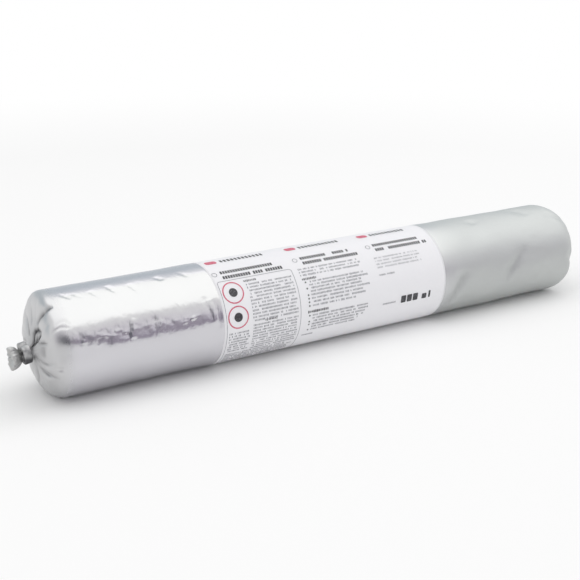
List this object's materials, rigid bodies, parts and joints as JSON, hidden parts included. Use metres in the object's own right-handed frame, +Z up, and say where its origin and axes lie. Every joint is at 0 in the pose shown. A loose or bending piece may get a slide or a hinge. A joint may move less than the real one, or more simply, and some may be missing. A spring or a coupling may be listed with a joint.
{
  "type": "foil sausage pack of sealant",
  "caption": "Soft foil sausage pack of sealant, gathered and clipped at both ends, with a wrapped label; lies on its side.",
  "frame": {"origin": "middle of the flat on the underside that the pack rests on, halfway between its two shoulders", "axes": "+X along the pack towards its far end, +Z up, -Z out of the flat that it rests on"},
  "size_m": [0.337, 0.0502, 0.0497],
  "materials": {
    "foil_film": "bright metallised film, softly creased",
    "label_print": "satin white print stock with dark and red fields",
    "clip_metal": "dull crimped wire"
  },
  "bodies": {
    "root": {"foil_pack": "foil_film", "label": "label_print", "front_clip": "clip_metal", "rear_clip": "clip_metal"}
  },
  "joints": []
}
